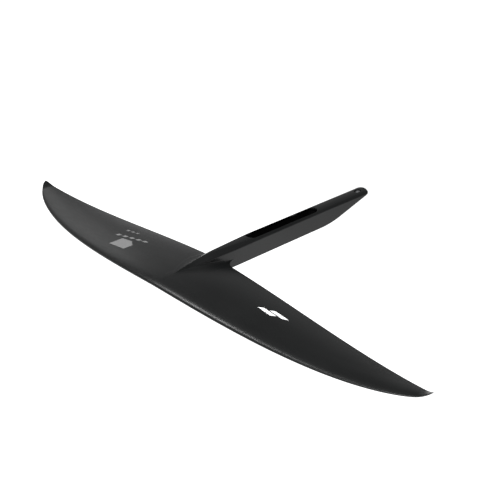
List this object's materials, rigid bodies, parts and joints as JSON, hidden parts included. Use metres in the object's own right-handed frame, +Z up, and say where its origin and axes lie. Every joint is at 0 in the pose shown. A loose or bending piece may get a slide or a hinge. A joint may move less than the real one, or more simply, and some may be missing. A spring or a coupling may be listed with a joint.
{
  "type": "hydrofoil front wing with fuselage",
  "caption": "Long slender hydrofoil wing moulded in one with its fuselage, with a mast socket on top and a sloped stabiliser seat under the tail.",
  "frame": {"origin": "middle of the mast socket's floor", "axes": "+X to port along the span, -Y forward to the leading edge, +Y aft to the tail, +Z up out of the mast socket"},
  "size_m": [0.9184, 0.4585, 0.0504],
  "materials": {
    "carbon_skin": "satin black carbon laminate",
    "carbon_strip": "raw unidirectional carbon",
    "socket_liner": "matt black moulded laminate",
    "foam_core": "closed-cell foam",
    "dense_foam": "dense structural foam",
    "load_plate": "milled",
    "bolt_sleeve": "turned stainless steel"
  },
  "bodies": {
    "root": {"upper_skin": "carbon_skin", "lower_skin": "carbon_skin", "spar_upper_cap": "carbon_strip", "spar_lower_cap": "carbon_strip", "spar_web": "dense_foam", "nose_core": "foam_core", "tail_core": "foam_core", "mast_socket": "socket_liner", "mast_load_plate": "load_plate", "mast_bolt_sleeve_front": "bolt_sleeve", "mast_bolt_sleeve_rear": "bolt_sleeve", "stabiliser_bolt_sleeve": "bolt_sleeve", "stabiliser_insert": "bolt_sleeve", "port_leading_edge_filler": "carbon_strip", "port_front_core": "foam_core", "port_rear_core": "foam_core", "port_trailing_edge_strip": "carbon_strip", "port_tip_block": "dense_foam", "starboard_leading_edge_filler": "carbon_strip", "starboard_front_core": "foam_core", "starboard_rear_core": "foam_core", "starboard_trailing_edge_strip": "carbon_strip", "starboard_tip_block": "dense_foam"}
  },
  "joints": []
}
